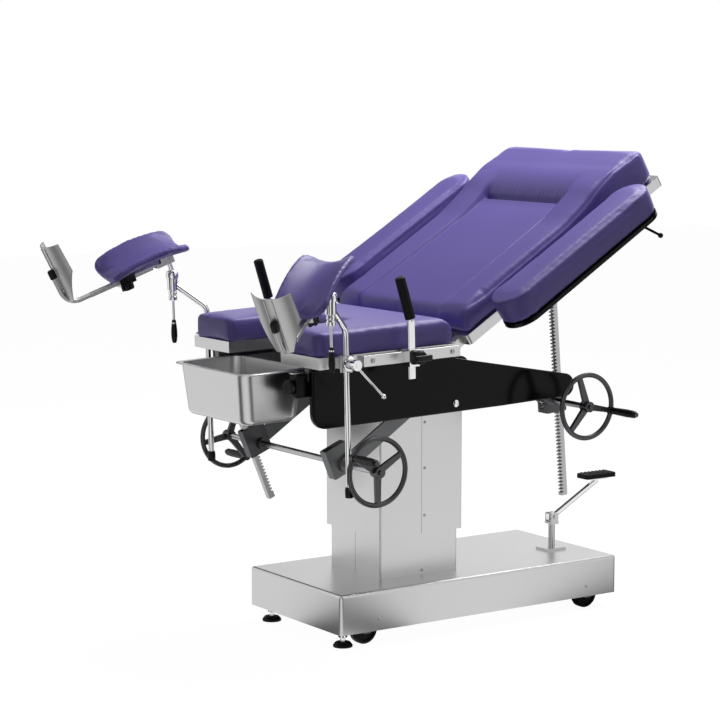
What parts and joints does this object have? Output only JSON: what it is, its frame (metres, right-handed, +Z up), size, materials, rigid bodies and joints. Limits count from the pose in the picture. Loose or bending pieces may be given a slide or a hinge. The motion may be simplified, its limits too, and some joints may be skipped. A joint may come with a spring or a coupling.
{
  "type": "gynaecological examination table",
  "caption": "Hydraulic examination and delivery table with a tilting top, rack-driven back, stirrups, arm boards and basin.",
  "frame": {"origin": "on the floor under the middle of the whole table's box", "axes": "+X towards the head end, +Y across to the side with the tilt rack, +Z up"},
  "size_m": [1.5209, 1.0731, 1.2364],
  "materials": {
    "brushed_steel": "brushed",
    "frame_steel": "satin",
    "chrome": "polished",
    "bright_steel": "ground",
    "cast_metal": "cast, satin",
    "black_panel": "gloss",
    "black_plastic": "matte",
    "rubber": "matte",
    "vinyl": "soft sheen"
  },
  "bodies": {
    "base": {"base_cover": "brushed_steel", "base_frame": "frame_steel", "lower_column_cover": "brushed_steel", "hydraulic_cylinder": "frame_steel", "caster_forks": "frame_steel", "pedal_post": "brushed_steel"},
    "pedal": {"pedal_lever": "chrome", "pedal_pad": "rubber"},
    "lifted": {"upper_column_cover": "brushed_steel", "column_head": "frame_steel", "tilt_arms": "frame_steel"},
    "tilt_gearbox": {"tilt_gearbox": "cast_metal"},
    "tilt_drive": {"tilt_shaft": "bright_steel", "tilt_handwheels": "cast_metal"},
    "tilt_grip_near": {"tilt_grip_near": "black_plastic"},
    "tilt_grip_far": {"tilt_grip_far": "black_plastic"},
    "top": {"side_panels": "black_panel", "beam_frame": "frame_steel", "tilt_rack": "bright_steel", "seat_frame": "brushed_steel", "seat_pad": "vinyl", "side_rails": "brushed_steel"},
    "back_gearbox": {"back_gearbox": "cast_metal"},
    "back_rack": {"back_rack": "bright_steel"},
    "back_drive": {"back_shaft": "bright_steel", "back_handwheel": "cast_metal"},
    "back_grip": {"back_grip": "black_plastic"},
    "back": {"back_frame": "frame_steel", "back_pad": "vinyl"},
    "basin": {"basin": "brushed_steel"},
    "caster_foot_near": {"caster_wheel_foot_near": "rubber"},
    "caster_foot_far": {"caster_wheel_foot_far": "rubber"},
    "caster_head_near": {"caster_wheel_head_near": "rubber"},
    "caster_head_far": {"caster_wheel_head_far": "rubber"},
    "foot_near": {"levelling_foot_near": "rubber"},
    "foot_far": {"levelling_foot_far": "rubber"},
    "arm_near": {"arm_board_near": "frame_steel", "arm_pad_near": "vinyl"},
    "clamp_handle_near": {"clamp_handle_near": "chrome"},
    "leg_rod_near": {"leg_rod_near": "chrome"},
    "knuckle_near": {"knuckle_near": "chrome"},
    "knee_near": {"knee_frame_near": "bright_steel", "knee_pad_near": "vinyl"},
    "boot_near": {"boot_near": "brushed_steel"},
    "star_knob_near": {"star_knob_near": "black_plastic"},
    "grip_near": {"grip_post_near": "chrome", "hand_grip_near": "rubber"},
    "grip_knob_near": {"grip_knob_near": "black_plastic"},
    "arm_far": {"arm_board_far": "frame_steel", "arm_pad_far": "vinyl"},
    "clamp_handle_far": {"clamp_handle_far": "chrome"},
    "leg_rod_far": {"leg_rod_far": "chrome"},
    "knuckle_far": {"knuckle_far": "chrome"},
    "knee_far": {"knee_frame_far": "bright_steel", "knee_pad_far": "vinyl"},
    "boot_far": {"boot_far": "brushed_steel"},
    "star_knob_far": {"star_knob_far": "black_plastic"},
    "grip_far": {"grip_post_far": "chrome", "hand_grip_far": "rubber"},
    "grip_knob_far": {"grip_knob_far": "black_plastic"}
  },
  "joints": [
    {"name": "caster_foot_near_spin", "type": "hinge", "parent": "base", "child": "caster_foot_near", "pos_m": [-0.1568, -0.0939, 0.0375], "axis": [0, 1, 0], "continuous": true},
    {"name": "caster_foot_far_spin", "type": "hinge", "parent": "base", "child": "caster_foot_far", "pos_m": [-0.1568, 0.2501, 0.0375], "axis": [0, 1, 0], "continuous": true},
    {"name": "caster_head_near_spin", "type": "hinge", "parent": "base", "child": "caster_head_near", "pos_m": [0.5692, -0.0939, 0.0375], "axis": [0, 1, 0], "continuous": true},
    {"name": "caster_head_far_spin", "type": "hinge", "parent": "base", "child": "caster_head_far", "pos_m": [0.5692, 0.2501, 0.0375], "axis": [0, 1, 0], "continuous": true},
    {"name": "foot_near_turn", "type": "hinge", "parent": "base", "child": "foot_near", "pos_m": [-0.2178, -0.0919, 0.02], "axis": [0, 0, 1], "continuous": true},
    {"name": "foot_far_turn", "type": "hinge", "parent": "base", "child": "foot_far", "pos_m": [-0.2178, 0.2481, 0.02], "axis": [0, 0, 1], "continuous": true},
    {"name": "pedal_press", "type": "hinge", "parent": "base", "child": "pedal", "pos_m": [0.5502, 0.0221, 0.234], "axis": [0, 1, 0], "range_deg": [0, 14], "stiffness_Nm_per_rad": 4, "springref_deg": -17.19},
    {"name": "lift", "type": "slide", "parent": "base", "child": "lifted", "axis": [0, 0, 1], "range_m": [-0.08, 0.17]},
    {"name": "tilt", "type": "hinge", "parent": "lifted", "child": "top", "pos_m": [0.0822, 0.0781, 0.607], "axis": [0, 1, 0], "range_deg": [-10, 10]},
    {"name": "tilt_gearbox_turn", "type": "hinge", "parent": "lifted", "child": "tilt_gearbox", "pos_m": [-0.2368, 0.0781, 0.476], "axis": [0, 1, 0], "range_deg": [-11, 11]},
    {"name": "tilt_wheel_turn", "type": "hinge", "parent": "tilt_gearbox", "child": "tilt_drive", "pos_m": [-0.2368, 0.0781, 0.476], "axis": [0, 1, 0], "range_deg": [-200, 200]},
    {"name": "tilt_grip_near_spin", "type": "hinge", "parent": "tilt_drive", "child": "tilt_grip_near", "pos_m": [-0.30825, -0.3239, 0.51725], "axis": [0, 1, 0], "continuous": true},
    {"name": "tilt_grip_far_spin", "type": "hinge", "parent": "tilt_drive", "child": "tilt_grip_far", "pos_m": [-0.18377, 0.4801, 0.4128], "axis": [0, 1, 0], "continuous": true},
    {"name": "back_raise", "type": "hinge", "parent": "top", "child": "back", "pos_m": [0.06125, 0.0781, 0.7575], "axis": [0, -1, 0], "range_deg": [-22, 25]},
    {"name": "back_gearbox_turn", "type": "hinge", "parent": "top", "child": "back_gearbox", "pos_m": [0.42492, -0.1119, 0.58396], "axis": [0, -1, 0], "range_deg": [-30, 30]},
    {"name": "back_rack_slide", "type": "slide", "parent": "back_gearbox", "child": "back_rack", "axis": [-0.082, 0, 0.9966], "range_m": [-0.3, 0.3]},
    {"name": "back_wheel_turn", "type": "hinge", "parent": "back_gearbox", "child": "back_drive", "pos_m": [0.42492, -0.1119, 0.58396], "axis": [0, -1, 0], "range_deg": [-500, 500]},
    {"name": "back_grip_spin", "type": "hinge", "parent": "back_drive", "child": "back_grip", "pos_m": [0.50576, -0.3219, 0.56752], "axis": [0, 1, 0], "continuous": true},
    {"name": "arm_near_swing", "type": "hinge", "parent": "back", "child": "arm_near", "pos_m": [0.57284, -0.2769, 1.071], "axis": [-0.5225, 0, 0.8526], "range_deg": [0, 90]},
    {"name": "clamp_handle_near_turn", "type": "hinge", "parent": "top", "child": "clamp_handle_near", "pos_m": [-0.31357, -0.2719, 0.74569], "axis": [0, 1, 0], "range_deg": [-100, 100]},
    {"name": "leg_rod_near_slide", "type": "slide", "parent": "top", "child": "leg_rod_near", "axis": [-0.0262, 0, 0.9997], "range_m": [-0.04, 0.2]},
    {"name": "knuckle_near_turn", "type": "hinge", "parent": "leg_rod_near", "child": "knuckle_near", "pos_m": [-0.39144, -0.3009, 0.8927], "axis": [-0.0262, 0, 0.9997], "range_deg": [-34, 30]},
    {"name": "knee_near_tilt", "type": "hinge", "parent": "knuckle_near", "child": "knee_near", "pos_m": [-0.40142, -0.30655, 0.95846], "axis": [0.5648, -0.8251, 0.0148], "range_deg": [-25, 20]},
    {"name": "boot_near_slide", "type": "slide", "parent": "knee_near", "child": "boot_near", "axis": [-0.716, -0.4988, -0.4884], "range_m": [-0.02, 0.05]},
    {"name": "star_knob_near_turn", "type": "hinge", "parent": "knee_near", "child": "star_knob_near", "pos_m": [-0.48823, -0.36753, 0.87159], "axis": [-0.4103, -0.2652, 0.8725], "range_deg": [-180, 180]},
    {"name": "grip_near_slide", "type": "slide", "parent": "top", "child": "grip_near", "axis": [0.9997, 0, 0.0262], "range_m": [-0.05, 0.1]},
    {"name": "grip_knob_near_turn", "type": "hinge", "parent": "grip_near", "child": "grip_knob_near", "pos_m": [-0.11258, -0.2719, 0.74895], "axis": [0, 1, 0], "range_deg": [-180, 180]},
    {"name": "arm_far_swing", "type": "hinge", "parent": "back", "child": "arm_far", "pos_m": [0.57284, 0.4331, 1.071], "axis": [0.5225, 0, -0.8526], "range_deg": [0, 90]},
    {"name": "clamp_handle_far_turn", "type": "hinge", "parent": "top", "child": "clamp_handle_far", "pos_m": [-0.31357, 0.4281, 0.74569], "axis": [0, 1, 0], "range_deg": [-100, 100]},
    {"name": "leg_rod_far_slide", "type": "slide", "parent": "top", "child": "leg_rod_far", "axis": [-0.0262, 0, 0.9997], "range_m": [-0.04, 0.2]},
    {"name": "knuckle_far_turn", "type": "hinge", "parent": "leg_rod_far", "child": "knuckle_far", "pos_m": [-0.39144, 0.4571, 0.8927], "axis": [0.0262, 0, -0.9997], "range_deg": [-4, 55]},
    {"name": "knee_far_tilt", "type": "hinge", "parent": "knuckle_far", "child": "knee_far", "pos_m": [-0.40315, 0.45771, 0.95842], "axis": [-0.061, -0.9981, -0.0016], "range_deg": [-25, 20]},
    {"name": "boot_far_slide", "type": "slide", "parent": "knee_far", "child": "boot_far", "axis": [-0.9385, 0.0579, -0.3403], "range_m": [-0.02, 0.05]},
    {"name": "star_knob_far_turn", "type": "hinge", "parent": "knee_far", "child": "star_knob_far", "pos_m": [-0.52169, 0.46507, 0.8899], "axis": [-0.3398, 0.0193, 0.9403], "range_deg": [-180, 180]},
    {"name": "grip_far_slide", "type": "slide", "parent": "top", "child": "grip_far", "axis": [0.9997, 0, 0.0262], "range_m": [-0.05, 0.1]},
    {"name": "grip_knob_far_turn", "type": "hinge", "parent": "grip_far", "child": "grip_knob_far", "pos_m": [-0.11258, 0.4281, 0.74895], "axis": [0, 1, 0], "range_deg": [-180, 180]},
    {"name": "basin_slide", "type": "slide", "parent": "top", "child": "basin", "axis": [0.9997, 0, 0.0262], "range_m": [0, 0.18]}
  ],
  "couplings": [
    {"joint": "tilt_gearbox_turn", "follows": "tilt", "ratio": 1},
    {"joint": "tilt_wheel_turn", "follows": "tilt", "ratio": 19.158},
    {"joint": "back_gearbox_turn", "follows": "back_raise", "ratio": 0.41017},
    {"joint": "back_rack_slide", "follows": "back_raise", "m_per_rad": 0.36452},
    {"joint": "back_wheel_turn", "follows": "back_raise", "ratio": 13.501}
  ]
}
